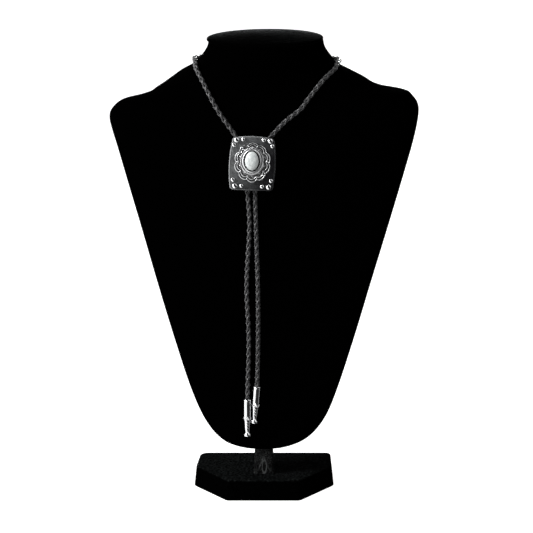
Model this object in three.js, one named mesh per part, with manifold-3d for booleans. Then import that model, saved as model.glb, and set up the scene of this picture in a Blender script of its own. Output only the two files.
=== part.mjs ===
// Bolo tie on a velvet neck bust.
// Millimetres, +Z up. The chest faces -Y and the origin is the centre of the base's underside.

import * as THREE from 'three';
import { mergeVertices } from 'three/addons/utils/BufferGeometryUtils.js';
import Module from 'manifold-3d';

// ---------------------------------------------------------------- driving dimensions

const GAP = 0.3;                        // clearance between pieces that touch
const LEAN = THREE.MathUtils.degToRad(5);   // the chest leans back from the vertical

const BASE_HEIGHT = 20;
const BASE_SOFT_EDGE = 1.2;             // the velvet rounds every edge of the base
const BASE_TAPER = 0.03;                // how much narrower the base is at its top, as a share
// The corners of the base from above: x, y and where the rounding starts.
const BASE_CORNERS = [
  [-35.4, -45.4, 3],
  [34.2, -45.4, 3],
  [67.2, 3.4, 7],
  [66.4, 47.6, 5.5],
  [-63.2, 47.6, 9],
  [-67.2, 3.4, 7],
];

const STEM_WIDTH = 17.2;
const STEM_FOOT = { front: -23, back: -8 };

const BODY_BOTTOM = 44;
const CHEST_FRONT_Y = -25;              // front of the chest at the height of its lowest point

const CAP_TOP = 430.5;
const CAP_THICKNESS = 2.4;
const CAP_CENTRE = { x: 0.9, y: 45.8 };
const CAP_HALF = { x: 55.2, y: 43.8 };
const CAP_SLOPE = 0.0115;               // the board sits a little higher on the right

const CORD_DIAMETER = 5;
const CORD_SIDES = 10;
const CORD_STEPS = 80;

const SLIDE = { x: -10.7, up: 276.2, tilt: THREE.MathUtils.degToRad(-2.2) };
const CLASP_DROP = 6;                   // the clasp sits below the middle of the slide
const CLASP_X = -0.8;
const CLASP_PLATE = { width: 26, height: 24, thickness: 1 };
const CLASP_TUBE = { radius: 3.8, bore: 3.15, length: 9, spacing: 7.1 };
const CLASP_AXIS_OUT = 4.1;             // from the chest to the axes of the tubes
const CLASP_FACE_OUT = CLASP_AXIS_OUT + CLASP_TUBE.radius - 0.5 + CLASP_PLATE.thickness;
const CLASP_POST_RADIUS = 2;
const PLATE_THICKNESS = 3;

const CONCHO_CENTRE = { x: -0.1, up: 1.5 };     // from the middle of the plate
const CONCHO_HALF = { x: 18, up: 18.9 };
const CONCHO_PETALS = 10;
const CONCHO_SCALLOP = 0.1;             // how far the edge dips between petals, as a share
const CONCHO_SEAT = 2.6;                // height of the stone's seat above the back
const BEZEL_CENTRE = { x: -0.7, up: 3.4 };      // from the middle of the plate, as well
const BEZEL_HALF = { x: 9.3, up: 11.3 };
const BEZEL_HEIGHT = 4.2;
const STONE_HALF = { x: 6.5, up: 9 };

const TIP_LENGTH = 36.5;
const TIP_RADIUS = 3.7;
const TIP_POCKET = 12;                  // depth of the cord's end inside a tip
const TIP_AXIS_OUT = 4.1;
const TIP_PLACES = {
  tip_left: { x: -15.7, up: 50.1, tilt: 0 },
  tip_right: { x: -6.6, up: 62.7, tilt: THREE.MathUtils.degToRad(-4.4) },
};

const BIG_STUD = { radius: 2.75, height: 2.3 };
const SMALL_STUD = { radius: 2.15, height: 1.8 };

// ---------------------------------------------------------------- materials

const COLOURS = {
  velvet: { color: 0x0c0c0d, roughness: 1.0, metalness: 0 },
  cord: { color: 0x1a1a1b, roughness: 0.5, metalness: 0 },
  leather: { color: 0x2e2e30, roughness: 0.55, metalness: 0 },
  silver: { color: 0xc9cbcd, roughness: 0.25, metalness: 1 },
  stone: { color: 0xccd4d4, roughness: 0.35, metalness: 0 },
};

function piece(name, geometry, look) {
  const mesh = new THREE.Mesh(geometry, new THREE.MeshStandardMaterial(COLOURS[look]));
  mesh.name = name;
  return mesh;
}

// ---------------------------------------------------------------- shared shapes

// A closed solid through rings of points. Every ring has the same count, and the first and the
// last are closed by a fan. The rings turn anticlockwise seen from the last one.
function ringSolid(rings) {
  const count = rings[0].length;
  const centre = (ring) => ring.reduce((sum, p) => sum.add(p), new THREE.Vector3())
    .divideScalar(count);
  const points = [...rings.flat(), centre(rings[0]), centre(rings[rings.length - 1])];
  const first = points.length - 2;
  const last = points.length - 1;
  const faces = [];
  for (let i = 0; i < count; i++) {
    const j = (i + 1) % count;
    faces.push(first, j, i);
    for (let r = 0; r < rings.length - 1; r++) {
      const low = r * count;
      const high = low + count;
      faces.push(low + i, low + j, high + j, low + i, high + j, high + i);
    }
    const top = (rings.length - 1) * count;
    faces.push(last, top + i, top + j);
  }
  const geometry = new THREE.BufferGeometry().setFromPoints(points);
  geometry.setIndex(faces);
  return geometry;
}

// A tube of even sides along a route.
function tubeAlong(curve, radius, sides, steps) {
  const section = new THREE.Shape();
  for (let i = 0; i < sides; i++) {
    const turn = (i + 0.5) * 2 * Math.PI / sides;
    const [x, y] = [radius * Math.cos(turn), radius * Math.sin(turn)];
    if (i === 0) section.moveTo(x, y);
    else section.lineTo(x, y);
  }
  section.closePath();
  return new THREE.ExtrudeGeometry(section, { steps, extrudePath: curve, curveSegments: 1 });
}

// ---------------------------------------------------------------- velvet bust

// Level sections of the body, from its lowest point to the neck: height, reach to the left and
// to the right, front and back, and how square the outline is (2 is an ellipse).
const BODY_SECTIONS = [
  { z: 44.4, left: 19, right: 17.5, front: -22, back: -9, square: 2.2 },
  { z: 46, left: 26, right: 24.3, front: -23.5, back: -7, square: 2.3 },
  { z: 49.5, left: 35.4, right: 33.8, front: -24.3, back: -5.5, square: 2.4 },
  { z: 54, left: 41.9, right: 41.6, front: -24.1, back: -4, square: 2.5 },
  { z: 62, left: 49.8, right: 50.3, front: -23.4, back: -2, square: 2.5 },
  { z: 76, left: 58.9, right: 60, front: -22.2, back: 1.5, square: 2.5 },
  { z: 100, left: 69.4, right: 69.9, front: -20.1, back: 7, square: 2.5 },
  { z: 150, left: 86, right: 86.4, front: -15.7, back: 19, square: 2.5 },
  { z: 200, left: 101.3, right: 101.6, front: -11.4, back: 32, square: 2.5 },
  { z: 250, left: 115.9, right: 117, front: -7, back: 45, square: 2.5 },
  { z: 300, left: 130.8, right: 132.1, front: -2.6, back: 58, square: 2.5 },
  { z: 330, left: 139.7, right: 140.8, front: 0, back: 66, square: 2.5 },
  { z: 345, left: 144.4, right: 144.5, front: 1.4, back: 71, square: 2.5 },
  { z: 354, left: 146.5, right: 146.2, front: 2.4, back: 74, square: 2.5 },
  { z: 360, left: 145.9, right: 146.9, front: 3.2, back: 76, square: 2.5 },
  { z: 365, left: 142.3, right: 146.7, front: 4, back: 78, square: 2.5 },
  { z: 370, left: 135.6, right: 144.9, front: 5, back: 80, square: 2.4 },
  { z: 374, left: 119.6, right: 141.6, front: 6, back: 82, square: 2.3 },
  { z: 378, left: 107.6, right: 137.6, front: 7, back: 84, square: 2.2 },
  { z: 382, left: 101.9, right: 116.6, front: 8, back: 86, square: 2.1 },
  { z: 386, left: 95.5, right: 104.2, front: 8.6, back: 88, square: 2 },
  { z: 391, left: 88.3, right: 96, front: 8.8, back: 90, square: 2 },
  { z: 398, left: 78.3, right: 82.2, front: 8, back: 92, square: 2 },
  { z: 405, left: 65.6, right: 69, front: 6, back: 93.5, square: 2 },
  { z: 411, left: 60.3, right: 64.5, front: 4, back: 93.6, square: 2 },
  { z: 417, left: 56, right: 60.1, front: 3, back: 92, square: 2 },
  { z: 422, left: 53.5, right: 57.4, front: 3, back: 90, square: 2 },
  { z: CAP_TOP - CAP_THICKNESS - GAP, left: 52.5, right: 56, front: 3.6, back: 88, square: 2,
    slope: CAP_SLOPE },
];
const BODY_SIDES = 48;

// A superellipse whose left and right halves may reach differently far. A slope lifts its right.
function sectionRing({ z, left, right, front, back, square, slope = 0 }) {
  const ring = [];
  for (let i = 0; i < BODY_SIDES; i++) {
    const turn = i * 2 * Math.PI / BODY_SIDES;
    const [c, s] = [Math.cos(turn), Math.sin(turn)];
    const across = Math.sign(c) * Math.abs(c) ** (2 / square);
    const deep = Math.sign(s) * Math.abs(s) ** (2 / square);
    const x = (c > 0 ? right : left) * across;
    const y = (front + back) / 2 + deep * (back - front) / 2;
    ring.push(new THREE.Vector3(x, y, z + slope * x));
  }
  return ring;
}

const bustBody = () => ringSolid(BODY_SECTIONS.map(sectionRing));

// The covered board on the neck: an elliptical disc with a soft edge.
function neckCap() {
  const edge = [
    { inset: 0.9, up: 0 },
    { inset: 0.1, up: 0.6 },
    { inset: 0, up: CAP_THICKNESS / 2 },
    { inset: 0.3, up: CAP_THICKNESS - 0.6 },
    { inset: 1.2, up: CAP_THICKNESS },
  ];
  return ringSolid(edge.map(({ inset, up }) => {
    const ring = [];
    for (let i = 0; i < BODY_SIDES; i++) {
      const turn = i * 2 * Math.PI / BODY_SIDES;
      const x = CAP_CENTRE.x + (CAP_HALF.x - inset) * Math.cos(turn);
      const y = CAP_CENTRE.y + (CAP_HALF.y - inset) * Math.sin(turn);
      ring.push(new THREE.Vector3(x, y, CAP_TOP - CAP_THICKNESS + up + CAP_SLOPE * x));
    }
    return ring;
  }));
}

// The post between base and body, drawn from the side and extruded across.
function bustStem() {
  const top = BODY_SECTIONS[0].z - GAP;
  const side = new THREE.Shape();
  side.moveTo(STEM_FOOT.front, BASE_HEIGHT + GAP);
  side.lineTo(STEM_FOOT.back, BASE_HEIGHT + GAP);
  side.lineTo(STEM_FOOT.back - 1, top);
  side.lineTo(STEM_FOOT.front + 1, top);
  side.closePath();
  const softEdge = 1;
  const stem = new THREE.ExtrudeGeometry(side, {
    depth: STEM_WIDTH - 2 * softEdge,
    bevelThickness: softEdge,
    bevelSize: softEdge,
    bevelOffset: -softEdge,
    bevelSegments: 2,
  });
  stem.translate(0, 0, softEdge - STEM_WIDTH / 2);
  // The side's outline is drawn in Y and Z, and extruded along X.
  stem.applyMatrix4(new THREE.Matrix4().makeBasis(
    new THREE.Vector3(0, 1, 0),
    new THREE.Vector3(0, 0, 1),
    new THREE.Vector3(1, 0, 0),
  ));
  return stem;
}

// The base plate: straight front, cut front corners and round back corners, a little narrower at
// the top.
function bustBase() {
  const plan = new THREE.Shape();
  BASE_CORNERS.forEach(([x, y, round], i) => {
    const corner = new THREE.Vector2(x, y);
    const [before, after] = [-1, 1].map((step) => {
      const next = new THREE.Vector2(...BASE_CORNERS.at((i + step) % BASE_CORNERS.length));
      return next.sub(corner).setLength(round).add(corner);
    });
    if (i === 0) plan.moveTo(before.x, before.y);
    else plan.lineTo(before.x, before.y);
    plan.quadraticCurveTo(x, y, after.x, after.y);
  });
  plan.closePath();
  const base = new THREE.ExtrudeGeometry(plan, {
    depth: BASE_HEIGHT - 2 * BASE_SOFT_EDGE,
    bevelThickness: BASE_SOFT_EDGE,
    bevelSize: BASE_SOFT_EDGE,
    bevelOffset: -BASE_SOFT_EDGE,
    bevelSegments: 3,
    curveSegments: 6,
  });
  base.translate(0, 0, BASE_SOFT_EDGE);
  const points = base.attributes.position;
  for (let i = 0; i < points.count; i++) {
    points.setX(i, points.getX(i) * (1 - BASE_TAPER * points.getZ(i) / BASE_HEIGHT));
  }
  return base;
}

// ---------------------------------------------------------------- bolo tie

// The cord's route from inside the left tip, up through the clasp, round the neck and back down
// through the clasp into the right tip.
const CORD_ROUTE = [
  [-15.7, -25.7, 82.7],
  [-15.7, -24.7, 94.3],
  [-14.3, -18.6, 151.9],
  [-16.3, -14.1, 202.7],
  [-13.6, -8.9, 262.4],
  [-15.4, -6.9, 293.4],
  [-15.5, -6, 307.8],
  [-15.1, -5, 319.7],
  [-17.4, -4, 329.3],
  [-25.6, -2, 343.3],
  [-42.3, 1.9, 366.9],
  [-49.8, 7.2, 379.3],
  [-58.5, 16.3, 395],
  [-63.9, 26.3, 403.9],
  [-65, 37, 407.6],
  [-65.8, 49.4, 409],
  [-65.2, 60, 407.9],
  [-59.5, 74.4, 406],
  [-50.6, 83.2, 404.4],
  [-36.9, 90.2, 402.1],
  [0, 95.9, 400.2],
  [39.1, 90.3, 401.5],
  [61.9, 76.9, 404.2],
  [69.4, 66, 405.8],
  [71.5, 54, 406.9],
  [69.6, 39.5, 407.1],
  [67, 26.4, 403.9],
  [56, 14.2, 395.3],
  [42.2, 5.9, 379.5],
  [34.9, 2.6, 370.1],
  [18.4, -0.3, 356.8],
  [-2.6, -3.6, 332],
  [-8, -5, 319.4],
  [-8.4, -6.1, 307.5],
  [-8.4, -7, 292],
  [-7.4, -9.6, 254.5],
  [-5.6, -14.9, 193],
  [-5.8, -20.4, 131.9],
  [-6.6, -23.6, 106.8],
  [-7.5, -24.6, 95.3],
];

function braidedCord() {
  const route = new THREE.CatmullRomCurve3(CORD_ROUTE.map((p) => new THREE.Vector3(...p)));
  return tubeAlong(route, CORD_DIAMETER / 2, CORD_SIDES, CORD_STEPS);
}

// What follows is drawn as seen by someone in front of the tie: X across, Y up and Z outwards.

// The leather plate: bowed edges, round corners and the hole for the clasp's post.
function slidePlate() {
  const top = 24.9;
  const bottom = -25.1;
  const plan = new THREE.Shape();
  plan.moveTo(-16.4, bottom);
  plan.quadraticCurveTo(0, bottom - 0.4, 16, bottom);
  plan.quadraticCurveTo(20.4, bottom, 20.6, -20.2);
  plan.quadraticCurveTo(23.5, 0, 20.4, 20.5);
  plan.quadraticCurveTo(20.1, top - 0.3, 16, top);
  plan.quadraticCurveTo(0, top + 2.6, -16, top);
  plan.quadraticCurveTo(-19.9, top - 0.3, -20.1, 20.5);
  plan.quadraticCurveTo(-23.8, 0, -21.1, -20.2);
  plan.quadraticCurveTo(-21, bottom, -16.4, bottom);
  const hole = new THREE.Path();
  hole.absarc(0, 0, CLASP_POST_RADIUS + GAP, 0, 2 * Math.PI, true);
  plan.holes.push(hole);
  const soft = 0.5;
  const plate = new THREE.ExtrudeGeometry(plan, {
    depth: PLATE_THICKNESS - 2 * soft,
    bevelThickness: soft,
    bevelSize: soft,
    bevelOffset: -soft,
    bevelSegments: 2,
    curveSegments: 8,
  });
  plate.translate(0, 0, soft);
  return plate;
}

// A ring at one height of an oval, whose reach may change with the angle.
function ovalRing(half, share, height, reach = () => 1, count = 80) {
  const ring = [];
  for (let i = 0; i < count; i++) {
    const turn = Math.PI / 2 + i * 2 * Math.PI / count;
    const r = share * reach(turn - Math.PI / 2);
    ring.push(new THREE.Vector3(half.x * r * Math.cos(turn), half.up * r * Math.sin(turn), height));
  }
  return ring;
}

// The flower concho with the bezel soldered on: a flat back, a scalloped rim, a domed flower and
// the wall round the stone's seat.
function concho() {
  const lobe = (turn) => Math.abs(Math.cos(turn * CONCHO_PETALS / 2)) ** 0.7;
  const petal = (turn) => 1 - CONCHO_SCALLOP + CONCHO_SCALLOP * lobe(turn);
  const inside = { x: STONE_HALF.x + GAP, up: STONE_HALF.up + GAP };
  const aside = new THREE.Vector3(
    BEZEL_CENTRE.x - CONCHO_CENTRE.x,
    BEZEL_CENTRE.up - CONCHO_CENTRE.up,
  );
  const bezelRing = (half, share, height) => ovalRing(half, share, height).map((p) => p.add(aside));
  return ringSolid([
    ovalRing(CONCHO_HALF, 0.97, 0, petal),
    ovalRing(CONCHO_HALF, 1, 0.4, petal),
    ovalRing(CONCHO_HALF, 0.98, 1.4, petal),
    ovalRing(CONCHO_HALF, 0.9, 1.2, petal),
    ovalRing(CONCHO_HALF, 0.78, 2.2, petal),
    bezelRing(BEZEL_HALF, 1.04, 2.4),
    bezelRing(BEZEL_HALF, 1, 3.4),
    bezelRing(BEZEL_HALF, 0.88, BEZEL_HEIGHT),
    bezelRing(inside, 1, BEZEL_HEIGHT - 0.3),
    bezelRing(inside, 1, CONCHO_SEAT),
  ]);
}

// The cabochon: a short wall under an oval dome.
function stone() {
  const dome = [
    { share: 0.97, up: 0 },
    { share: 1, up: 0.4 },
    { share: 1, up: 1.4 },
    { share: 0.93, up: 2.3 },
    { share: 0.78, up: 3.1 },
    { share: 0.52, up: 3.8 },
    { share: 0.22, up: 4.2 },
  ];
  return ringSolid(dome.map(({ share, up }) => ovalRing(STONE_HALF, share, up, () => 1, 40)));
}

function stud({ radius, height }) {
  const points = [new THREE.Vector2(0, 0), new THREE.Vector2(radius, 0)];
  const rings = 5;
  for (let i = 1; i < rings; i++) {
    const turn = i / rings * Math.PI / 2;
    points.push(new THREE.Vector2(radius * Math.cos(turn), height * Math.sin(turn)));
  }
  points.push(new THREE.Vector2(0, height));
  return new THREE.LatheGeometry(points, 16).rotateX(Math.PI / 2);
}

// Three studs at each corner of the plate, a big one between two small ones.
function studs(face) {
  const corner = [
    { size: BIG_STUD, x: 15.8, top: 22.3, bottom: -21.2 },
    { size: SMALL_STUD, x: 9.7, top: 23, bottom: -20.9 },
    { size: SMALL_STUD, x: 17.9, top: 17.5, bottom: -15.3 },
  ];
  const made = [];
  for (const level of ['top', 'bottom']) {
    for (const side of [-1, 1]) {
      for (const row of corner) {
        const one = piece(`stud_${made.length + 1}`, stud(row.size), 'silver');
        one.position.set(side * row.x, row[level], face);
        made.push(one);
      }
    }
  }
  return made;
}

// manifold-3d joins and cuts closed meshes.
const wasm = await Module();
wasm.setup();

function solid(geometry) {
  const bare = geometry.clone();
  bare.deleteAttribute('normal');
  bare.deleteAttribute('uv');
  const merged = mergeVertices(bare, 1e-4);
  return new wasm.Manifold(new wasm.Mesh({
    numProp: 3,
    vertProperties: merged.attributes.position.array,
    triVerts: new Uint32Array(merged.index.array),
  }));
}

function meshOf(manifold) {
  const { vertProperties, triVerts } = manifold.getMesh();
  const geometry = new THREE.BufferGeometry();
  geometry.setAttribute('position', new THREE.BufferAttribute(vertProperties, 3));
  geometry.setIndex(new THREE.BufferAttribute(triVerts, 1));
  return geometry;
}

// The clasp in one piece: a plate, two tubes side by side behind it for the cord, and a post that
// stops short of the concho. Z is 0 at the face of its plate.
function cordClasp() {
  const { width, height, thickness } = CLASP_PLATE;
  const { radius, bore, length, spacing } = CLASP_TUBE;
  const axis = CLASP_AXIS_OUT - CLASP_FACE_OUT;
  const plate = new THREE.BoxGeometry(width, height, thickness)
    .translate(CLASP_X, -CLASP_DROP, -thickness / 2);
  const postTop = PLATE_THICKNESS + GAP;
  const post = new THREE.CylinderGeometry(CLASP_POST_RADIUS, CLASP_POST_RADIUS, postTop + 0.5, 16)
    .rotateX(Math.PI / 2)
    .translate(0, 0, (postTop - 0.5) / 2);
  let clasp = solid(plate).add(solid(post));
  for (const cut of [false, true]) {
    for (const side of [-1, 1]) {
      const r = cut ? bore : radius;
      const tube = new THREE.CylinderGeometry(r, r, cut ? length + 2 : length, 20)
        .rotateY(Math.PI / 20)
        .translate(CLASP_X + side * spacing / 2, -CLASP_DROP, axis);
      clasp = cut ? clasp.subtract(solid(tube)) : clasp.add(solid(tube));
    }
  }
  return meshOf(clasp);
}

// A tip from its mouth down, turned in one go: rim, sleeve, shoulder, taper and flat ball, with
// the pocket that the cord's end sits in.
function cordTip() {
  const pocketRadius = CORD_DIAMETER / 2 + 0.45;
  const outline = [
    [0, -TIP_LENGTH],
    [2.2, -TIP_LENGTH + 0.3],
    [3.1, -TIP_LENGTH + 1.5],
    [3.3, -TIP_LENGTH + 2.4],
    [2.9, -TIP_LENGTH + 3.6],
    [1.9, -TIP_LENGTH + 4.6],
    [2.2, -TIP_LENGTH + 6.5],
    [3.1, -19.5],
    [3.5, -17.5],
    [3.5, -2.4],
    [TIP_RADIUS, -2],
    [TIP_RADIUS, -0.3],
    [TIP_RADIUS - 0.3, 0],
    [pocketRadius, 0],
    [pocketRadius, -TIP_POCKET],
    [0, -TIP_POCKET],
  ];
  return new THREE.LatheGeometry(outline.map(([r, y]) => new THREE.Vector2(r, y)), 20);
}

// ---------------------------------------------------------------- assembly

function slide() {
  const group = new THREE.Group();
  const plateBack = CLASP_FACE_OUT + GAP;
  const plateFace = plateBack + PLATE_THICKNESS;
  const clasp = piece('cord_clasp', cordClasp(), 'silver');
  clasp.position.z = CLASP_FACE_OUT;
  const plate = piece('slide_plate', slidePlate(), 'leather');
  plate.position.z = plateBack;
  const flower = piece('concho', concho(), 'silver');
  flower.position.set(CONCHO_CENTRE.x, CONCHO_CENTRE.up, plateFace + GAP);
  const gem = piece('stone', stone(), 'stone');
  gem.position.set(BEZEL_CENTRE.x, BEZEL_CENTRE.up, plateFace + GAP + CONCHO_SEAT + GAP);
  group.add(clasp, plate, flower, gem, ...studs(plateFace + GAP));
  return group;
}

// The slide and the tips lie on the leaning chest: X across, Y up the chest, Z outwards.
function onChest() {
  const group = new THREE.Group();
  group.position.set(0, CHEST_FRONT_Y, BODY_BOTTOM);
  group.rotation.x = Math.PI / 2 - LEAN;
  const ornament = slide();
  ornament.position.set(SLIDE.x, SLIDE.up, 0);
  ornament.rotation.z = SLIDE.tilt;
  group.add(ornament);
  for (const [name, place] of Object.entries(TIP_PLACES)) {
    const tip = piece(name, cordTip(), 'silver');
    tip.position.set(place.x, place.up, TIP_AXIS_OUT);
    tip.rotation.z = place.tilt;
    group.add(tip);
  }
  return group;
}

export default new THREE.Group().add(
  piece('bust_body', bustBody(), 'velvet'),
  piece('neck_cap', neckCap(), 'velvet'),
  piece('bust_stem', bustStem(), 'velvet'),
  piece('bust_base', bustBase(), 'velvet'),
  piece('braided_cord', braidedCord(), 'cord'),
  onChest(),
);
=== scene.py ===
"""Looks of a bolo tie on a velvet neck bust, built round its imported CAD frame. Units are metres.

The tie is a braided leather cord with a leather slide, a silver concho that holds an oval stone,
twelve silver studs and two silver tips. The bust is velvet over a body, a neck cap, a stem and a
base. The chest faces -Y.
"""

import math

import bpy
import numpy as np
from mathutils import Matrix, Vector


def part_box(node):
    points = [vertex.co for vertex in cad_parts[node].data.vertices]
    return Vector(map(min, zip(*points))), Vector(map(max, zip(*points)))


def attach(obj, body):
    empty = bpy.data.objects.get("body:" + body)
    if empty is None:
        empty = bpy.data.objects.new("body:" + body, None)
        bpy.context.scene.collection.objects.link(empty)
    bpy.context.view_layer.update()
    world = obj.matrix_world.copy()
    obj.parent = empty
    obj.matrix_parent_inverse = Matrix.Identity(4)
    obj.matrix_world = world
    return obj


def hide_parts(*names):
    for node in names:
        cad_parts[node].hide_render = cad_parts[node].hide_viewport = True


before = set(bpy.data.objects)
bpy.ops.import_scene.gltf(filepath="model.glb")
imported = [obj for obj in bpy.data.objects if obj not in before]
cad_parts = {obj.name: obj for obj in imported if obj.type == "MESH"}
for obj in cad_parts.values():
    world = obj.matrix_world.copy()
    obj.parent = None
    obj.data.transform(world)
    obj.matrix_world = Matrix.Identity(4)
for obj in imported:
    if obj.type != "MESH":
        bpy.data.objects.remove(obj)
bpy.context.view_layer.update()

MM = 0.001
TURN = 2 * math.pi
FRONT = np.array([0.0, -1.0, 0.0])

# The chest leans back by this much, and the slide and the right tip hang a little askew.
LEAN = math.radians(5)
SLIDE_TILT = math.radians(-2.2)
TIP_TILTS = {"tip_left": 0.0, "tip_right": math.radians(-4.4)}


# ---------------------------------------------------------------- camera

CAMERA_AIM = (0.0024, 0.0, 0.2181)
CAMERA_DISTANCE = 3.4
CAMERA_HEIGHT_ANGLE = math.radians(13.9)
CAMERA_LENS = 242.3


def make_camera():
    """A long lens, from straight in front and a little above."""
    data = bpy.data.cameras.new("camera")
    data.lens = CAMERA_LENS
    data.clip_end = 100
    camera = bpy.data.objects.new("camera", data)
    bpy.context.scene.collection.objects.link(camera)
    away = Vector((0, -math.cos(CAMERA_HEIGHT_ANGLE), math.sin(CAMERA_HEIGHT_ANGLE)))
    camera.location = Vector(CAMERA_AIM) + away * CAMERA_DISTANCE
    camera.rotation_euler = (-away).to_track_quat("-Z", "Y").to_euler()
    bpy.context.scene.camera = camera


# ---------------------------------------------------------------- mesh tools


def loft_faces(rings, count):
    """Quads between successive closed rings, and a fan over each end.

    The two ends' centre points come after all the rings' points."""
    i = np.arange(count)
    j = (i + 1) % count
    faces = []
    for low in range(0, (rings - 1) * count, count):
        high = low + count
        faces += np.stack([low + i, low + j, high + j, high + i], 1).tolist()
    top = (rings - 1) * count
    first = rings * count
    faces += np.stack([np.full(count, first), j, i], 1).tolist()
    faces += np.stack([np.full(count, first + 1), top + i, top + j], 1).tolist()
    return faces


def loft(rings):
    """Points and faces of a closed body through rings of points, an array of rings by points by 3.

    The rings turn anticlockwise seen from the last one."""
    rings = np.asarray(rings, float)
    ends = np.stack([rings[0].mean(0), rings[-1].mean(0)])
    points = np.concatenate([rings.reshape(-1, 3), ends])
    return points, loft_faces(rings.shape[0], rings.shape[1])


def joined(parts):
    """Several bodies, each its points and faces, as one."""
    points, faces, start = [], [], 0
    for some, its_faces in parts:
        points.append(some)
        faces += [[start + k for k in face] for face in its_faces]
        start += len(some)
    return np.concatenate(points), faces


def make_piece(name, body, material, replaces=(), dark=None):
    """A smooth-shaded mesh object that rides on the root. dark is a share at each point: how
    tarnished the silver is, and on the plate's edge and the stem's folds how much painted highlight
    they take.
    """
    points, faces = body
    mesh = bpy.data.meshes.new(name)
    mesh.from_pydata(np.asarray(points).tolist(), [], faces)
    mesh.update()
    mesh.shade_smooth()
    if dark is not None:
        attribute = mesh.attributes.new("dark", "FLOAT", "POINT")
        attribute.data.foreach_set("value", np.asarray(dark, np.float32))
    mesh.materials.append(material)
    piece = bpy.data.objects.new(name, mesh)
    bpy.context.scene.collection.objects.link(piece)
    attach(piece, "root")
    if replaces:
        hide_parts(*replaces)
    return piece


def centripetal(points, per_span, closed=False):
    """A centripetal Catmull-Rom curve through points, with per_span samples for each span."""
    p = np.asarray(points, float)
    if closed:
        p = np.concatenate([p[-1:], p, p[:2]])
    else:
        p = np.concatenate([2 * p[:1] - p[1:2], p, 2 * p[-1:] - p[-2:-1]])
    spans = []
    u = np.arange(per_span)[:, None] / per_span
    for a, b, c, d in zip(p, p[1:], p[2:], p[3:]):
        t0, t1, t2 = (max(np.linalg.norm(x) ** 0.5, 1e-9) for x in (b - a, c - b, d - c))
        leave = t1 * ((b - a) / t0 - (c - a) / (t0 + t1) + (c - b) / t1)
        enter = t1 * ((c - b) / t1 - (d - b) / (t1 + t2) + (d - c) / t2)
        spans.append(
            b * (2 * u**3 - 3 * u**2 + 1)
            + leave * (u**3 - 2 * u**2 + u)
            + c * (3 * u**2 - 2 * u**3)
            + enter * (u**3 - u**2)
        )
    if not closed:
        spans.append(p[-2:-1])
    return np.concatenate(spans)


def evenly(line, step):
    """The line again with points about step apart, and how far along it each of them is."""
    along = np.concatenate([[0], np.cumsum(np.linalg.norm(np.diff(line, axis=0), axis=1))])
    at = np.linspace(0, along[-1], math.ceil(along[-1] / step) + 1)
    return np.stack([np.interp(at, along, line[:, k]) for k in range(3)], 1), at


def unit(v):
    """Vectors along the last axis, at length 1."""
    return v / np.linalg.norm(v, axis=-1, keepdims=True)


def bump(x):
    """A smooth hill of height 1 for x from -1 to 1, and 0 beyond."""
    return np.where(np.abs(x) < 1, (1 - np.clip(x, -1, 1) ** 2) ** 2, 0.0)


def step_up(x, low, high):
    """0 below low, 1 above high and smooth between."""
    t = np.clip((x - low) / (high - low), 0, 1)
    return t * t * (3 - 2 * t)


# What lies on the chest is drawn as seen from its front: x across, y up the chest, z outwards.


def chest_turn(tilt=0.0):
    """The rotation from such a drawing to the row frame, as a 3 by 3 array."""
    turn = Matrix.Rotation(math.pi / 2 - LEAN, 3, "X") @ Matrix.Rotation(tilt, 3, "Z")
    return np.array(turn)


def drawn_box(node, turn):
    """The lowest and highest corners of a CAD node in that drawing."""
    points = np.array([v.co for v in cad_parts[node].data.vertices]) @ turn
    return points.min(0), points.max(0)


def placed(body, origin, turn):
    """A body drawn round its own origin, moved to a point and turned to the row frame."""
    points, faces = body
    return (np.asarray(points) + origin) @ turn.T, faces


# ---------------------------------------------------------------- materials


class Nodes:
    """A node tree, and short ways to add nodes to it. Each way returns the new node's result."""

    def __init__(self, tree):
        self.tree = tree

    def add(self, kind, **settings):
        node = self.tree.nodes.new(kind)
        for key, value in settings.items():
            setattr(node, key, value)
        return node

    def link(self, source, target):
        self.tree.links.new(source, target)

    def along(self, source, direction):
        """How far a point or a normal goes along a direction."""
        node = self.add("ShaderNodeVectorMath", operation="DOT_PRODUCT")
        self.link(source, node.inputs[0])
        node.inputs[1].default_value = direction
        return node.outputs["Value"]

    def range(self, value, low, high, to_low=0.0, to_high=1.0):
        """The value taken from one range to another, and held at its ends."""
        node = self.add("ShaderNodeMapRange")
        self.link(value, node.inputs["Value"])
        for key, number in zip(
            ("From Min", "From Max", "To Min", "To Max"), (low, high, to_low, to_high)
        ):
            node.inputs[key].default_value = number
        return node.outputs["Result"]

    def math(self, operation, a, b):
        """A Math node. Each of a and b is a number or another node's result."""
        node = self.add("ShaderNodeMath", operation=operation)
        for socket, value in zip(node.inputs, (a, b)):
            if isinstance(value, (int, float)):
                socket.default_value = value
            else:
                self.link(value, socket)
        return node.outputs["Value"]


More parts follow.
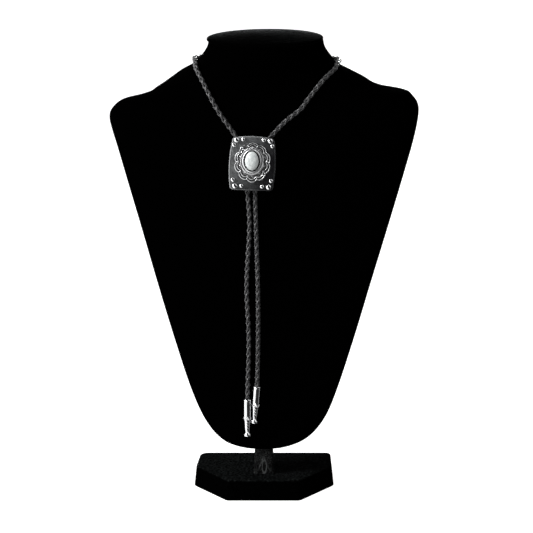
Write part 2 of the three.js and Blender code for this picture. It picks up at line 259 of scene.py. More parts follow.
class Shader(Nodes):
    """A material with a Principled shader, and the nodes that feed it."""

    def __init__(self, name, **sockets):
        self.material = bpy.data.materials.new(name)
        self.material.use_nodes = True
        super().__init__(self.material.node_tree)
        self.surface = self.tree.nodes["Principled BSDF"]
        for key, value in sockets.items():
            self.surface.inputs[key.replace("_", " ")].default_value = value
        self.place = self.add("ShaderNodeTexCoord").outputs["Object"]

    def noise(self, size, detail=3.0, roughness=0.55):
        """Noise from 0 to 1 whose blotches are about that size."""
        node = self.add("ShaderNodeTexNoise")
        node.inputs["Scale"].default_value = 1 / size
        node.inputs["Detail"].default_value = detail
        node.inputs["Roughness"].default_value = roughness
        self.link(self.place, node.inputs["Vector"])
        return node.outputs["Fac"]

    def cell_edges(self, size):
        """Distance from the edges of cells of about that size, as a share of the size."""
        node = self.add("ShaderNodeTexVoronoi", feature="DISTANCE_TO_EDGE")
        node.inputs["Scale"].default_value = 1 / size
        self.link(self.place, node.inputs["Vector"])
        return node.outputs["Distance"]

    def attribute(self, name):
        """A mesh's own value at each point, such as how dark it is there."""
        return self.add("ShaderNodeAttribute", attribute_name=name).outputs["Fac"]

    def blend(self, share, a, b):
        """Colour a where share is 0, and b where it is 1."""
        node = self.add("ShaderNodeMix", data_type="RGBA")
        self.link(share, node.inputs["Factor"])
        for socket, colour in zip((node.inputs["A"], node.inputs["B"]), (a, b)):
            if isinstance(colour, tuple):
                socket.default_value = (*colour, 1)
            else:
                self.link(colour, socket)
        return node.outputs["Result"]

    def feed(self, key, source):
        """Let a result set one of the surface's own sockets."""
        self.link(source, self.surface.inputs[key])

    def relief(self, *heights):
        """Bump from pairs of a height from 0 to 1 and the depth that it stands for."""
        normal = None
        for height, depth in heights:
            node = self.add("ShaderNodeBump")
            node.inputs["Distance"].default_value = depth
            self.link(height, node.inputs["Height"])
            if normal is not None:
                self.link(normal, node.inputs["Normal"])
            normal = node.outputs["Normal"]
        self.feed("Normal", normal)


PAINTED_SHEEN_POWER = 2.6             # how late in its range the painted sheen makes the pile paler
RIDGE_PAINTED_HIGHLIGHT = 0.9               # how pale the painted highlight on the ridges of folded velvet is


def velvet(name, dark, light, sheen, tuft=1.3 * MM, upright=0.04, painted_sheen_y=None, ridges=False):
    """Black pile: a dull ground, and flecks of about the tuft's size painted pale as its sheen.

    The flecks are a painted top light too: upright is how pale they are on upright faces, next
    to those on level ones, which the light from above reaches more. A range of Y, when given, is
    where a painted sheen makes the pile grow paler towards the back. A mesh with ridges says where
    they are by how dark it is, and a painted highlight makes them paler too."""
    shader = Shader(
        name,
        Roughness=1.0,
        Specular_IOR_Level=0.0,
        Sheen_Weight=sheen,
        Sheen_Roughness=0.3,
        Sheen_Tint=(0.85, 0.9, 0.9, 1),
    )
    nap = shader.noise(9 * MM, 4, 0.6)
    tufts = shader.noise(tuft, 3, 0.6)
    normal = shader.add("ShaderNodeNewGeometry").outputs["Normal"]
    # Painted top light: level faces take the pale flecks fully, and upright faces only the share
    # that upright gives.
    upper = shader.range(shader.along(normal, (0, 0, 1)), 0.2, 0.95, upright, 1.0)
    painted_sheen_fleck = shader.math("MULTIPLY", shader.range(tufts, 0.42, 0.7), upper)
    shade = shader.math("MULTIPLY", shader.range(nap, 0.3, 0.75, 0.3, 1.0), painted_sheen_fleck)
    # Painted sheen: the pile grows paler towards the back, over the given range of Y.
    if painted_sheen_y:
        sheen_rise = shader.range(shader.along(shader.place, (0, 1, 0)), *painted_sheen_y)
        shade = shader.math("MULTIPLY", shade, shader.math("POWER", sheen_rise, PAINTED_SHEEN_POWER))
    # Painted highlight on the crests of the folds.
    if ridges:
        painted_ridge_highlight = shader.math("MULTIPLY", shader.attribute("dark"), RIDGE_PAINTED_HIGHLIGHT)
        shade = shader.math("ADD", shade, painted_ridge_highlight)
    shader.feed("Base Color", shader.blend(shade, dark, light))
    shader.relief((nap, 0.4 * MM), (tufts, 0.5 * MM))
    return shader.material


def cord_leather():
    """Satin black thongs with a fine grain along their length."""
    shader = Shader("cord_leather", Roughness=0.4, Specular_IOR_Level=0.6)
    pale_share = shader.noise(2.5 * MM, 3)
    shader.feed("Base Color", shader.blend(pale_share, (0.018, 0.018, 0.019), (0.034, 0.034, 0.035)))
    shader.feed("Roughness", shader.range(pale_share, 0.3, 0.7, 0.42, 0.56))
    shader.relief((shader.noise(0.35 * MM, 2), 0.03 * MM), (shader.noise(1.4 * MM, 2), 0.06 * MM))
    return shader.material


def plate_leather():
    """Dark pebbled leather, greyed by a painted light towards the upper left, and pale on its edges
    from wear and a painted highlight.
    """
    shader = Shader("plate_leather", Roughness=0.45, Specular_IOR_Level=0.25)
    patch = shader.noise(5 * MM, 5, 0.72)
    # Painted light: the leather is paler towards the upper left, where the key light falls, in
    # random patches.
    painted_side_light = shader.range(shader.along(shader.place, (-1, 0, 0.4)), 0.122, 0.164)
    painted_side_light = shader.math("MULTIPLY", painted_side_light, shader.range(patch, 0.3, 0.68, 0.35, 1.35))
    ground = shader.blend(painted_side_light, (0.004, 0.004, 0.005), (0.11, 0.115, 0.117))
    # Edge wear and a painted highlight: the edge rings go pale, most of all where the painted light
    # is.
    pale_share = shader.math("MULTIPLY", shader.attribute("dark"), shader.range(painted_side_light, 0, 0.8, 0.05, 1))
    shader.feed("Base Color", shader.blend(pale_share, ground, (0.25, 0.255, 0.26)))
    shader.feed("Roughness", shader.range(patch, 0.3, 0.7, 0.38, 0.5))
    pebble = shader.range(shader.cell_edges(0.75 * MM), 0.0, 0.12)
    shader.relief((pebble, 0.05 * MM), (shader.noise(0.3 * MM, 2), 0.03 * MM), (patch, 0.2 * MM))
    return shader.material


def silver(name, roughness, tarnished=False):
    """Bright silver with faint scratches, blackened where a tarnished mesh says it is dark."""
    shader = Shader(name, Metallic=1.0, Roughness=roughness)
    cloud = shader.noise(3 * MM, 3)
    bright = shader.blend(cloud, (0.72, 0.73, 0.74), (0.86, 0.87, 0.88))
    rough = shader.range(cloud, 0.3, 0.7, roughness * 0.8, roughness * 1.3)
    if tarnished:
        dark = shader.attribute("dark")
        shader.feed("Base Color", shader.blend(dark, bright, (0.03, 0.03, 0.031)))
        rough = shader.math("ADD", rough, shader.math("MULTIPLY", dark, 0.2))
    else:
        shader.feed("Base Color", bright)
    shader.feed("Roughness", rough)
    shader.relief((shader.noise(0.5 * MM, 3), 0.012 * MM))
    return shader.material


def cloudy_stone():
    """Pale grey-green stone with soft clouds, a few faint veins and a polished face."""
    shader = Shader("cloudy_stone", Roughness=0.16, Specular_IOR_Level=0.5, Coat_Weight=0.3)
    cloud = shader.noise(3.2 * MM, 4, 0.6)
    pale = shader.blend(
        shader.range(cloud, 0.3, 0.7), (0.56, 0.605, 0.60), (0.80, 0.83, 0.825)
    )
    vein = shader.range(shader.cell_edges(5 * MM), 0.0, 0.05, 0.35, 0.0)
    shader.feed("Base Color", shader.blend(vein, pale, (0.40, 0.43, 0.42)))
    shader.feed("Roughness", shader.range(cloud, 0.3, 0.7, 0.12, 0.22))
    return shader.material


# ---------------------------------------------------------------- braided cord

# The cord's route, in millimetres, from inside the left tip round the neck into the right one.
CORD_ROUTE = [
    (-15.7, -25.7, 82.7), (-15.7, -24.7, 94.3), (-14.3, -18.6, 151.9), (-16.3, -14.1, 202.7),
    (-13.6, -8.9, 262.4), (-15.4, -6.9, 293.4), (-15.5, -6, 307.8), (-15.1, -5, 319.7),
    (-17.4, -4, 329.3), (-25.6, -2, 343.3), (-42.3, 1.9, 366.9), (-49.8, 7.2, 379.3),
    (-58.5, 16.3, 395), (-63.9, 26.3, 403.9), (-65, 37, 407.6), (-65.8, 49.4, 409),
    (-65.2, 60, 407.9), (-59.5, 74.4, 406), (-50.6, 83.2, 404.4), (-36.9, 90.2, 402.1),
    (0, 95.9, 400.2), (39.1, 90.3, 401.5), (61.9, 76.9, 404.2), (69.4, 66, 405.8),
    (71.5, 54, 406.9), (69.6, 39.5, 407.1), (67, 26.4, 403.9), (56, 14.2, 395.3),
    (42.2, 5.9, 379.5), (34.9, 2.6, 370.1), (18.4, -0.3, 356.8), (-2.6, -3.6, 332),
    (-8, -5, 319.4), (-8.4, -6.1, 307.5), (-8.4, -7, 292), (-7.4, -9.6, 254.5),
    (-5.6, -14.9, 193), (-5.8, -20.4, 131.9), (-6.6, -23.6, 106.8), (-7.5, -24.6, 95.3),
]

# Four flat thongs: two climb one way round and two the other, over one and under one.
BRAID_PITCH = 14.8 * MM         # along the cord for one whole turn of a thong
BRAID_MIDDLE = 1.34 * MM        # from the cord's axis to a thong's middle, on average
BRAID_WEAVE = 0.3 * MM          # a thong goes this far out over another, and in under it
BRAID_HASTE = 0.27              # a thong runs straighter on top and turns faster underneath
THONG_HALF_TURN = math.radians(52)
THONG_HALF_THICKNESS = 0.86 * MM
THONG_PINCH = 0.16              # a thong is this much narrower on top and wider underneath
THONG_CROWN = 0.25              # how far its edges bend in, in half thicknesses
THONG_SQUARENESS = 0.85         # 1 is an oval section, and less is squarer
THONG_SIDES = 12
BRAID_STEP = 0.6 * MM
ROUTE_SAMPLES = 24              # on the curve between two points of the route
# Which way the column of thongs that climb to the right faces, from the front, on each leg.
LEFT_LEG_FACING = math.radians(-19)
RIGHT_LEG_FACING = math.radians(33)


def carried_frames(line):
    """Tangents, and normals that start to the front and turn no more than the line does."""
    tangents = unit(np.gradient(line, axis=0))
    normals = np.empty_like(tangents)
    normal = FRONT
    for k, t in enumerate(tangents):
        normal = unit(normal - t * normal.dot(t))
        normals[k] = normal
    return tangents, normals


def braid_facing(at, tangents, normals):
    """The angle from the carried normal to the column of right-climbing thongs, all along."""
    side = np.cross(tangents[-1], normals[-1])
    front_at_end = math.atan2(side.dot(FRONT), normals[-1].dot(FRONT))
    end = front_at_end + RIGHT_LEG_FACING
    end -= math.pi * round((end - LEFT_LEG_FACING) / math.pi)
    return LEFT_LEG_FACING + (end - LEFT_LEG_FACING) * step_up(at / at[-1], 0.3, 0.7)


def thong(line, tangents, normals, facing, at, way, start):
    """One thong's body. way is 1 where it climbs to the right and -1 to the left."""
    crossing = 2 * TURN * at / BRAID_PITCH
    middle = facing + start + way * TURN * at / BRAID_PITCH - BRAID_HASTE * np.sin(crossing)
    radius = BRAID_MIDDLE + way * BRAID_WEAVE * np.cos(crossing)
    u = np.arange(THONG_SIDES) * TURN / THONG_SIDES
    across = np.sign(np.cos(u)) * np.abs(np.cos(u)) ** THONG_SQUARENESS
    out = np.sign(np.sin(u)) * np.abs(np.sin(u)) ** THONG_SQUARENESS
    half_turn = THONG_HALF_TURN * (1 - THONG_PINCH * way * np.cos(crossing))
    angle = middle[:, None] + half_turn[:, None] * across
    reach = radius[:, None] + THONG_HALF_THICKNESS * (out - THONG_CROWN * across**2)
    sides = np.cross(tangents, normals)
    rings = (
        line[:, None]
        + (reach * np.cos(angle))[..., None] * normals[:, None]
        + (reach * np.sin(angle))[..., None] * sides[:, None]
    )
    return loft(rings)


def make_cord(leather):
    """The braid along the cord's whole route."""
    route = centripetal(np.array(CORD_ROUTE) * MM, ROUTE_SAMPLES)
    line, at = evenly(route, BRAID_STEP)
    tangents, normals = carried_frames(line)
    facing = braid_facing(at, tangents, normals)
    thongs = [
        thong(line, tangents, normals, facing, at, way, start)
        for way in (1, -1)
        for start in (0, math.pi)
    ]
    cord = make_piece("leather_braid", joined(thongs), leather, ["braided_cord"])


# ---------------------------------------------------------------- velvet bust


def level_rings(node):
    """A CAD solid's own rings, lowest first and well apart, each from its right anticlockwise."""
    points = np.array([v.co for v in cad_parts[node].data.vertices])
    points = np.unique(np.round(points, 6), axis=0)
    points = points[np.argsort(points[:, 2])]
    levels = np.split(points, np.where(np.diff(points[:, 2]) > 0.5 * MM)[0] + 1)
    count = min(len(level) for level in levels)
    rings = []
    for level in levels:
        middle = np.array([0, (level[:, 1].min() + level[:, 1].max()) / 2])
        away = np.linalg.norm(level[:, :2] - middle, axis=1)
        ring = level[np.argsort(-away)[:count]]
        angle = np.arctan2(ring[:, 1] - middle[1], ring[:, 0]) % TURN
        angle[angle > TURN - 1e-3] = 0
        rings.append(ring[np.argsort(angle)])
    return np.array(rings)


def make_bust_body(cloth):
    """The covered body: smooth curves through the CAD solid's rings, round them and up them."""
    rings = level_rings("bust_body")
    around = np.array([centripetal(ring, 3, closed=True) for ring in rings])
    columns = np.array([centripetal(column, 4) for column in around.transpose(1, 0, 2)])
    make_piece("velvet_body", loft(columns.transpose(1, 0, 2)), cloth, ["bust_body"])


CAP_SIDES = 160
CAP_SLOPE = 0.0115              # the board sits a little higher on the right
CAP_PADDING = 4 * MM            # how far the padded middle of the board stands above its rim
CAP_SINK = 0.4 * MM             # how far its underside settles into the velvet of the neck


def make_neck_cap(cloth):
    """The covered board on the neck: an oval disc with a rounded edge and a padded top.

    Each level is how far the disc's edge is moved in and its height at the middle of the slope."""
    low, high = (np.array(corner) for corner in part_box("neck_cap"))
    middle, half = (low + high) / 2, (high - low) / 2
    lift = CAP_SLOPE * half[0]
    bottom, top = low[2] + lift - CAP_SINK, high[2] - lift
    edge = (top - bottom) / 2
    quarter = np.linspace(0, math.pi / 2, 7)
    levels = [(edge * (1 - math.sin(a)), bottom + edge * (1 - math.cos(a))) for a in quarter]
    levels += [(edge * (1 - math.cos(a)), top - edge * (1 - math.sin(a))) for a in quarter]
    for share in np.linspace(0.96, 0.05, 16):
        levels.append((half[1] * (1 - share), top + CAP_PADDING * (1 - share**2)))
    angle = np.arange(CAP_SIDES) * TURN / CAP_SIDES
    rings = []
    for inset, z in levels:
        share = 1 - inset / half[1]
        x = (half[0] * share if inset > edge else half[0] - inset) * np.cos(angle)
        y = (half[1] - inset) * np.sin(angle)
        rings.append(np.stack([middle[0] + x, middle[1] + y, z + CAP_SLOPE * (middle[0] + x)], 1))
    make_piece("velvet_cap", loft(rings), cloth, ["neck_cap"])


def rounded_outline(corners, steps=8):
    """A closed outline through corners (x, y, radius), anticlockwise, with round corners."""
    points = []
    spots = [np.array(c[:2], float) for c in corners]
    for k, (x, y, radius) in enumerate(corners):
        here = spots[k]
        back = unit(spots[k - 1] - here)
        on = unit(spots[(k + 1) % len(corners)] - here)
        half = math.acos(float(np.clip(back.dot(on), -1, 1))) / 2
        reach = radius / math.tan(half)
        centre = here + unit(back + on) * radius / math.sin(half)
        start, end = here + back * reach - centre, here + on * reach - centre
        a0 = math.atan2(start[1], start[0])
        swing = (math.atan2(end[1], end[0]) - a0) % TURN
        for a in np.linspace(a0, a0 + swing, steps):
            points.append(centre + radius * np.array([math.cos(a), math.sin(a)]))
    return np.array(points)


def resampled(outline, count):
    """A closed outline again, with points evenly spaced along it."""
    closed = np.concatenate([outline, outline[:1]])
    along = np.concatenate([[0], np.cumsum(np.linalg.norm(np.diff(closed, axis=0), axis=1))])
    at = np.linspace(0, along[-1], count, endpoint=False)
    return np.stack([np.interp(at, along, closed[:, k]) for k in range(2)], 1)


def inward(outline):
    """The inward normal at each point of an anticlockwise outline."""
    on = unit(np.roll(outline, -1, 0) - np.roll(outline, 1, 0))
    return np.stack([-on[:, 1], on[:, 0]], 1)


def slab_rings(outline, levels, core=()):
    """Rings of an outline moved inwards, from rows (inset, z), then shrunk to the core's shares."""
    normal = inward(outline)
    rings = []
    for inset, z in levels:
        flat = outline + normal * inset
        rings.append(np.column_stack([flat, np.full(len(flat), z)]))
    last = rings[-1]
    middle = last.mean(0)
    for share, rise in core:
        ring = middle + (last - middle) * share
        ring[:, 2] = last[0, 2] + rise
        rings.append(ring)
    return rings


# The base's corners from above, in millimetres: x, y and radius.
BASE_CORNERS = [
    (-35.4, -45.4, 4), (34.2, -45.4, 4), (67.2, 3.4, 12), (66.4, 47.6, 5.5), (-63.2, 47.6, 9),
    (-67.2, 3.4, 12),
]
BASE_SIDES = 320
BASE_TAPER = 0.03               # how much narrower the base is at its top, as a share
BASE_FOOT_ROUND = 0.4 * MM
BASE_RIM_ROUND = 1.5 * MM


def make_base(cloth):
    """The covered base: straight front, cut front corners, a crisp foot and a soft upper rim."""
    low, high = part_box("bust_base")
    outline = resampled(rounded_outline(np.array(BASE_CORNERS) * MM), BASE_SIDES)
    foot, rim = BASE_FOOT_ROUND, BASE_RIM_ROUND
    quarter = np.linspace(0, math.pi / 2, 8)
    levels = [(foot * (1 - math.sin(a)), low.z + foot * (1 - math.cos(a))) for a in quarter]
    levels += [(rim * (1 - math.cos(a)), high.z - rim * (1 - math.sin(a))) for a in quarter]
    core = [(share, 0.0) for share in np.linspace(0.96, 0.05, 14)]
    rings = np.array(slab_rings(outline, levels, core))
    rings[..., 0] *= 1 - BASE_TAPER * (rings[..., 2] - low.z) / (high.z - low.z)
    make_piece("velvet_base", loft(rings), cloth, ["bust_base"])


STEM_SIDES = 240
STEM_CORNER = 2.2 * MM
STEM_FLARE = 1.4 * MM           # how far the cloth spreads at the foot of the post
STEM_BELLY = 0.5 * MM
STEM_FOLD = 1.1 * MM            # how far the folds stand out


def stem_fold(x, up):
    """How high the folds of the stem's cloth stand in front, from 0 to 1, across and up it."""
    x, up = x / MM, up / MM
    arms = np.abs(np.abs(x) - 0.38 * np.clip(17 - up, 0, None))
    roof = bump(arms / 1.3) * step_up(up, 2, 7) * (1 - step_up(up, 15, 19))
    loop = np.abs(np.hypot((x - 0.6) / 2.1, (up - 7) / 6) - 1)
    drop = bump(loop / 0.42) * (up < 14)
    return np.clip(0.7 * roof + drop, 0, 1)


def make_stem(cloth):
    """The covered post, its cloth gathered in folds at the front of the foot."""
    low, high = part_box("bust_stem")
    half = (high.x - low.x) / 2
    spots = ((-half, low.y), (half, low.y), (half, high.y), (-half, high.y))
    corners = [(x, y, STEM_CORNER) for x, y in spots]
    outline = resampled(rounded_outline(corners), STEM_SIDES)
    normal = inward(outline)
    front = 1 - step_up(outline[:, 1], low.y + 1 * MM, low.y + 3 * MM)
    rings, ridges = [], []
    for z in np.linspace(low.z, high.z, 90):
        up = z - low.z
        flare = STEM_FLARE * math.exp(-up / (2.5 * MM))
        belly = STEM_BELLY * math.sin(math.pi * min(up / (24 * MM), 1))
        fold = stem_fold(outline[:, 0], np.full(len(outline), up)) * front
        flat = outline - normal * (flare + belly + STEM_FOLD * fold)[:, None]
        rings.append(np.column_stack([flat, np.full(len(flat), z)]))
        ridges.append(fold)
    # The folds' heights go out as the dark attribute, which the velvet turns into a painted
    # highlight on the ridges.
    make_piece("velvet_stem", loft(rings), cloth, ["bust_stem"],
               dark=np.concatenate([*ridges, [0, 0]]))


# ---------------------------------------------------------------- slide

# The leather plate's outline: curve after curve, each from the last end by a control to its end.
PLATE_CURVES = [
    ((0, -25.5), (16, -25.1)),
    ((20.4, -25.1), (20.6, -20.2)),
    ((23.5, 0), (20.4, 20.5)),
    ((20.1, 24.6), (16, 24.9)),
    ((0, 27.5), (-16, 24.9)),
    ((-19.9, 24.6), (-20.1, 20.5)),
    ((-23.8, 0), (-21.1, -20.2)),
    ((-21, -25.1), (-16.4, -25.1)),
]
PLATE_SIDES = 400
PLATE_CROWN = 0.5 * MM          # how far the plate's middle stands above its edge
# The plate's edge, from its back round to its face: how far in from the outline, and how high.
PLATE_EDGE = [
    (0.9, 0.0), (0.35, 0.12), (0.08, 0.45), (0.0, 0.9), (0.0, 1.9), (0.08, 2.4), (0.3, 2.75),
    (0.6, 2.93), (0.95, 3.0), (1.25, 2.96), (1.5, 2.82), (1.7, 2.78), (1.9, 2.82), (2.2, 2.94),
    (2.7, 3.0), (3.6, 3.0),
]
WORN_AND_HIGHLIT_RINGS = slice(4, 9)        # those of the edge that are pale from wear and a painted highlight


def curved_outline(curves, steps=20):
    """A closed outline of quadratic curves that follow each other."""
    start = np.array(curves[-1][1], float)
    points = []
    for control, end in curves:
        control, end = np.array(control, float), np.array(end, float)
        for u in np.arange(steps) / steps:
            points.append((1 - u) ** 2 * start + 2 * u * (1 - u) * control + u * u * end)
        start = end
    return np.array(points)


def make_plate(leather, turn):
    """The leather plate: burnished round edge, a creased line inside it and a soft face."""
    low, high = drawn_box("slide_plate", turn)
    outline = resampled(curved_outline(PLATE_CURVES) * MM, PLATE_SIDES)
    to_height = (high[2] - low[2]) / PLATE_EDGE[-1][1]
    levels = [(inset * MM, low[2] + up * to_height) for inset, up in PLATE_EDGE]
    core = [(share, PLATE_CROWN * (1 - share**2)) for share in np.linspace(0.97, 0.05, 20)]
    rings = np.array(slab_rings(outline, levels, core))
    middle = (low + high) / 2
    rings[..., 0] += middle[0] - (outline[:, 0].max() + outline[:, 0].min()) / 2
    rings[..., 1] += middle[1] - (outline[:, 1].max() + outline[:, 1].min()) / 2
    # The edge rings that take wear and a painted highlight.
    pale_share = np.zeros(rings.shape[:2])
    pale_share[WORN_AND_HIGHLIT_RINGS] = 1
    points, faces = loft(rings)
    make_piece("leather_plate", (points @ turn.T, faces), leather, ["slide_plate"],
               dark=[*pale_share.ravel(), 0, 0])


PETALS = 10
PETAL_DIP = 0.1                 # how far the concho's edge dips between petals, as a share
BEZEL_HALF = np.array([9.3, 11.3])
BEZEL_ASIDE = np.array([-0.6, 1.9, 0])   # from the middle of the flower to that of the bezel
# The bezel's wall, from its foot outside over its top: how far in, how high and how dark.
BEZEL_WALL = [
    (0.0, 2.9, 0.6), (0.12, 3.3, 0.2), (0.35, 3.75, 0), (0.7, 4.07, 0), (1.1, 4.2, 0),
    (1.4, 4.15, 0.1), (1.6, 3.9, 0.8), (1.8, 3.5, 1), (1.95, 3.1, 1), (2.1, 2.7, 1),
]
SEAT_HALF = np.array([6.8, 9.3])
SEAT_UP = 2.6
CONCHO_SIDES = 800
CONCHO_RIM_DARK = 0.3


def petal_lobe(angle):
    """1 at the middle of each petal and 0 between two, for angles from the top."""
    return np.abs(np.cos(angle * PETALS / 2)) ** 0.7


def flower_relief(t, angle, radius):
    """Height in millimetres and darkness of the flower, at share t from the bezel to the rim.

    radius is the distance from the concho's middle in millimetres."""
    lobe = petal_lobe(angle)
    in_petal = (angle * PETALS / TURN + 0.5) % 1 - 0.5
    aside = in_petal * TURN / PETALS * radius
    line_at = 0.67 - 0.17 * (1 - lobe)
    rim = bump((t - 0.92) / 0.1)
    line = bump((t - line_at) / 0.1)
    spoke = bump((0.5 - np.abs(in_petal)) / 0.06) * ((t > line_at) & (t < 0.92))
    groove = bump((t - (line_at + 0.925) / 2) / 0.1) * (1 - spoke)
    hollow = bump((t - line_at + 0.13) / 0.08)
    from_chevron = np.abs((t - 0.46) * 7.6 + 0.75 * np.abs(aside))
    chevron = bump(from_chevron / 0.42) * bump(aside / 2.4)
    bead = bump(np.hypot((t - 0.33) * 7.6, aside) / 0.9)
    rope_share = (t - 0.15) / 0.13
    strands = 0.5 + 0.5 * np.cos(64 * angle + 2.2 * rope_share)
    rope = np.sqrt(np.clip(1 - rope_share**2, 0, 1)) * (0.5 + 0.5 * strands)
    height = 1.2 + 1.1 * (1 - t) ** 0.8
    height += 0.6 * rim + 0.65 * line + 0.45 * spoke - 0.35 * groove - 0.3 * hollow
    height += 0.3 * bead + 0.5 * rope - 0.38 * chevron
    raised = np.clip(rim + line + 0.8 * spoke + 0.9 * bead + 0.9 * rope * strands, 0, 1)
    dark = 0.7 * (1 - raised) + 0.4 * groove + 0.4 * hollow + 0.5 * chevron
    dark += 0.6 * bump((t - 0.295) / 0.035) + 0.9 * bump(t / 0.035)
    return height, np.clip(dark, 0, 1)


def oval_ring(half, angle, height):
    """A ring of an oval, in millimetres. Angles are from the top, anticlockwise."""
    return np.column_stack([
        -half[0] * np.sin(angle), half[1] * np.cos(angle), np.full(len(angle), height),
    ])


def make_concho(material, turn):
    """The flower concho, its bezel and the hollow that the stone sits in, in one piece."""
    low, high = drawn_box("concho", turn)
    half = (high - low)[:2] / 2 / MM
    angle = np.arange(CONCHO_SIDES) * TURN / CONCHO_SIDES
    reach = 1 - PETAL_DIP + PETAL_DIP * petal_lobe(angle)
    outer = oval_ring(half, angle, 0) * reach[:, None]
    inner = oval_ring(BEZEL_HALF, angle, 0) + BEZEL_ASIDE
    rings, dark = [], []
    for share, up in ((0.97, 0.0), (0.99, 0.15), (1.0, 0.45), (1.0, 0.95)):
        ring = outer * share
        ring[:, 2] = up
        rings.append(ring)
        dark.append(np.full(CONCHO_SIDES, CONCHO_RIM_DARK))
    for t in np.linspace(1, 0, 74):
        ring = inner + (outer - inner) * t
        radius = np.hypot(ring[:, 0], ring[:, 1])
        ring[:, 2], its_dark = flower_relief(t, angle, radius)
        rings.append(ring)
        dark.append(its_dark)
    for inset, up, its_dark in BEZEL_WALL:
        rings.append(oval_ring(BEZEL_HALF - inset, angle, up) + BEZEL_ASIDE)
        dark.append(np.full(CONCHO_SIDES, its_dark))
    for share in (0.9, 0.6, 0.3):
        rings.append(oval_ring(SEAT_HALF * share, angle, SEAT_UP) + BEZEL_ASIDE)
        dark.append(np.ones(CONCHO_SIDES))
    origin = np.array([(low[0] + high[0]) / 2, (low[1] + high[1]) / 2, low[2]])
    body = placed(loft(np.array(rings) * MM), origin, turn)
    shade = np.concatenate([*dark, [CONCHO_RIM_DARK, 1]])
    make_piece("silver_concho", body, material, ["concho"], dark=shade)


STONE_SIDES = 128
STONE_WALL = 1.3 * MM           # height of the stone's upright wall, below its dome


def make_stone(material, turn):
    """The cabochon: a low wall and an oval dome."""
    low, high = drawn_box("stone", turn)
    middle, half = (low + high) / 2, (high - low) / 2
    angle = np.arange(STONE_SIDES) * TURN / STONE_SIDES
    rise = high[2] - low[2] - STONE_WALL
    rings = [(0.96, 0.0), (0.99, 0.1 * MM), (1.0, 0.4 * MM)]
    rings += [
        (math.cos(a) ** 0.8, STONE_WALL + rise * math.sin(a)) for a in np.linspace(0, 1.5, 30)
    ]
    drawn = [
        oval_ring(half[:2] * share, angle, low[2] + up) + (middle[0], middle[1], 0)
        for share, up in rings
    ]
    points, faces = loft(drawn)
    make_piece("oval_stone", (points @ turn.T, faces), material, ["stone"])


STUD_SIDES = 48


def make_studs(material, turn):
    """Twelve domed studs, each with a thin lip where it meets the leather."""
    for node in sorted(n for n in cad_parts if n.startswith("stud_")):
        low, high = drawn_box(node, turn)
        middle, radius = (low + high) / 2, (high[0] - low[0]) / 2
        rise = high[2] - low[2]
        angle = np.arange(STUD_SIDES) * TURN / STUD_SIDES
        profile = [(0.97, 0.0), (1.0, 0.06), (0.995, 0.12), (0.95, 0.17)]
        profile += [
            (0.95 * math.cos(a), 0.17 + 0.83 * math.sin(a)) for a in np.linspace(0.15, 1.5, 16)
        ]
        rings = [
            oval_ring(np.full(2, radius * share), angle, low[2] + rise * up)
            + (middle[0], middle[1], 0)
            for share, up in profile
        ]
        points, faces = loft(rings)
        name = node.replace("stud", "silver_stud")
        make_piece(name, (points @ turn.T, faces), material, [node])


# ---------------------------------------------------------------- tips

TIP_SIDES = 96
# The tip's outline from its foot up, as rows of height above the foot and radius.
TIP_OUTLINE = [
    (0.0, 0.4), (0.02, 1.4), (0.3, 2.3), (0.9, 2.95), (1.6, 3.25), (2.4, 3.3), (3.1, 3.15),
    (3.7, 2.75), (4.3, 2.15), (4.8, 1.88), (5.4, 1.9), (6.5, 2.2), (17.0, 3.1), (19.0, 3.42),
    (30.0, 3.5), (33.9, 3.5), (34.3, 3.42), (34.7, 3.55), (35.2, 3.7), (35.8, 3.7), (36.3, 3.58),
    (36.5, 3.35),
]
SHOULDER = 18.2                 # height of the wavy edge where the sleeve laps the taper
DIMPLES = (8.6, 11.3, 14.0, 16.6)   # their heights
# The hollow that the cord goes into, from its mouth down, as rows of radius and height.
TIP_POCKET = [(3.1, 36.5), (2.95, 36.2), (2.95, 30), (2.95, 24.5)]
TIP_POCKET_DARK = 0.8


def tip_relief(up, angle):
    """What the tip's ornament adds to its radius in millimetres, and how dark it is."""
    quarter = (angle * 4 / TURN + 0.5) % 1 - 0.5
    edge = SHOULDER + 1.6 * (1 - 4 * np.abs(quarter))
    lap = bump((up - edge + 0.3) / 0.9)
    below = bump((up - edge - 0.9) / 0.6)
    dimple = sum(bump(np.hypot((up - d) / 1.15, quarter * 4 / 0.85)) for d in DIMPLES)
    return 0.35 * lap - 0.15 * below - 0.4 * dimple, np.clip(0.9 * below + dimple, 0, 1)


def tip_ring(radius, up, angle):
    """A ring round the tip's axis, which is Y in the drawing."""
    return np.column_stack([radius * np.sin(angle), np.full(TIP_SIDES, up), radius * np.cos(angle)])


def make_tip(node, material, tilt):
    """A silver tip: ball foot, fluted taper, wavy shoulder, rim and the cord's pocket."""
    turn = chest_turn(tilt)
    low, high = drawn_box(node, turn)
    middle = (low + high) / 2
    table = np.array(TIP_OUTLINE)
    heights = np.unique(np.concatenate([table[:, 0], np.linspace(4.5, 34, 120)]))
    angle = np.arange(TIP_SIDES) * TURN / TIP_SIDES
    rings, dark = [], []
    for up in heights:
        added, its_dark = tip_relief(up, angle)
        radius = np.interp(up, table[:, 0], table[:, 1]) + added
        rings.append(tip_ring(radius, up, angle))
        dark.append(its_dark)
    for radius, up in TIP_POCKET:
        rings.append(tip_ring(radius, up, angle))
        dark.append(np.full(TIP_SIDES, TIP_POCKET_DARK))
    origin = np.array([middle[0], low[1], middle[2]])
    body = placed(loft(np.array(rings) * MM), origin, turn)
    shade = np.concatenate([*dark, [0, 1]])
    make_piece("silver_" + node, body, material, [node], dark=shade)


# ---------------------------------------------------------------- studio

STAGE_RADIUS = 12
BUST_MIDDLE = Vector((0, 0, 0.25))
CAP_TOP = Vector((0, 0.05, 0.43))
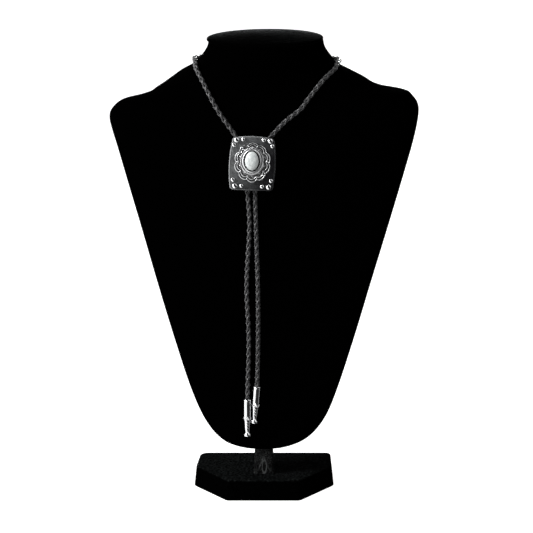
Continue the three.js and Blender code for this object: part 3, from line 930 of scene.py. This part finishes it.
# The dark band in the room that the gloss mirrors, in shares of a sphere's radius.
BAND_MIDDLE = 0.16
BAND_EDGE = (0.46, 0.66)        # the band fades out between these distances from its middle
BAND_GLOW = 0.02
LEFT_GLOW, RIGHT_GLOW = 1.9, 0.7


def make_studio():
    """A white floor and backdrop, and soft lights from the upper left, the front and the back."""
    bpy.context.scene.world = make_world()
    bpy.context.scene.view_settings.view_transform = "Standard"
    white = Shader("white", Roughness=1.0, Base_Color=(0.5, 0.5, 0.5, 1), Specular_IOR_Level=0.0)
    white.surface.inputs["Emission Color"].default_value = (1, 1, 1, 1)
    white.surface.inputs["Emission Strength"].default_value = 1.05
    bpy.ops.mesh.primitive_circle_add(vertices=128, radius=STAGE_RADIUS, fill_type="NGON")
    floor = bpy.context.object
    floor.name = "floor"
    floor.data.materials.append(white.material)
    bpy.ops.mesh.primitive_uv_sphere_add(segments=64, ring_count=32, radius=STAGE_RADIUS)
    sky = bpy.context.object
    sky.name = "backdrop"
    sky.data.materials.append(white.material)
    for thing in (floor, sky):
        thing.visible_diffuse = False
        thing.visible_glossy = False
        thing.visible_shadow = False
    softbox("key_light", (-1.5, -0.5, 1.3), BUST_MIDDLE, 0.6, 0.6, 46)
    back = softbox("back_light", (0.5, 1.4, 0.6), CAP_TOP, 0.6, 0.25, 2)
    back.data.spread = math.radians(26)
    fill = softbox("fill_light", (-0.6, -2.1, 0.35), BUST_MIDDLE, 0.8, 0.8, 28)
    rear = softbox("rear_light", (1.0, 1.9, 0.5), BUST_MIDDLE, 0.8, 0.8, 24)
    for light in (fill, rear):
        light.visible_glossy = False


def make_world():
    """What the gloss mirrors: a white room, whose front is dark along a slanting band."""
    world = bpy.data.worlds.new("studio")
    world.use_nodes = True
    world.cycles_visibility.diffuse = False
    room = Nodes(world.node_tree)
    place = room.add("ShaderNodeTexCoord").outputs["Generated"]
    across_band = room.along(place, (0.78, 0, 0.62))
    off_band = room.math("ABSOLUTE", room.math("SUBTRACT", across_band, BAND_MIDDLE), 0)
    beside = room.range(off_band, *BAND_EDGE, BAND_GLOW, 1)
    behind = room.range(room.along(place, (0, 1, 0)), -0.25, 0.25)
    side = room.range(room.along(place, (1, 0, 0)), -1, 1, LEFT_GLOW, RIGHT_GLOW)
    glow = room.math("MULTIPLY", room.math("MAXIMUM", beside, behind), side)
    background = world.node_tree.nodes["Background"]
    background.inputs["Color"].default_value = (1, 1, 1, 1)
    room.link(glow, background.inputs["Strength"])
    return world


def softbox(name, place, aim, width, height, power):
    """An area light in watts, turned to its aim, that the camera doesn't see."""
    data = bpy.data.lights.new(name, "AREA")
    data.shape = "RECTANGLE"
    data.size, data.size_y = width, height
    data.energy = power
    light = bpy.data.objects.new(name, data)
    bpy.context.scene.collection.objects.link(light)
    light.location = place
    light.rotation_euler = (aim - Vector(place)).to_track_quat("-Z", "Y").to_euler()
    light.visible_camera = False
    return light


# ---------------------------------------------------------------- assembly

make_camera()
make_cord(cord_leather())

# The velvets' pale colours are painted sheen and painted top light, and on the stem a painted
# highlight on the fold ridges.
make_bust_body(velvet("velvet_pile", (0.0002, 0.0002, 0.0002), (0.05, 0.053, 0.053), 0.001,
                      upright=1, painted_sheen_y=(0.02, 0.1)))
make_neck_cap(velvet("velvet_cap", (0.0003, 0.0003, 0.0003), (0.55, 0.58, 0.58), 0.006,
                     tuft=2.2 * MM, painted_sheen_y=(0.025, 0.09)))
make_base(velvet("velvet_base", (0.0003, 0.0003, 0.0003), (0.02, 0.0225, 0.0225), 0.001,
                 tuft=2.2 * MM))
make_stem(velvet("velvet_crushed", (0.0015, 0.0015, 0.0015), (0.04, 0.042, 0.042), 0.01,
                 upright=1, ridges=True))

slide_turn = chest_turn(SLIDE_TILT)
make_plate(plate_leather(), slide_turn)
make_concho(silver("antique_silver", 0.3, tarnished=True), slide_turn)
make_stone(cloudy_stone(), slide_turn)
make_studs(silver("polished_silver", 0.1), slide_turn)
tip_silver = silver("tip_silver", 0.16, tarnished=True)
for tip_node, tip_tilt in TIP_TILTS.items():
    make_tip(tip_node, tip_silver, tip_tilt)

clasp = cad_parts["cord_clasp"]
clasp.data.materials.clear()
clasp.data.materials.append(silver("clasp_metal", 0.3))

make_studio()
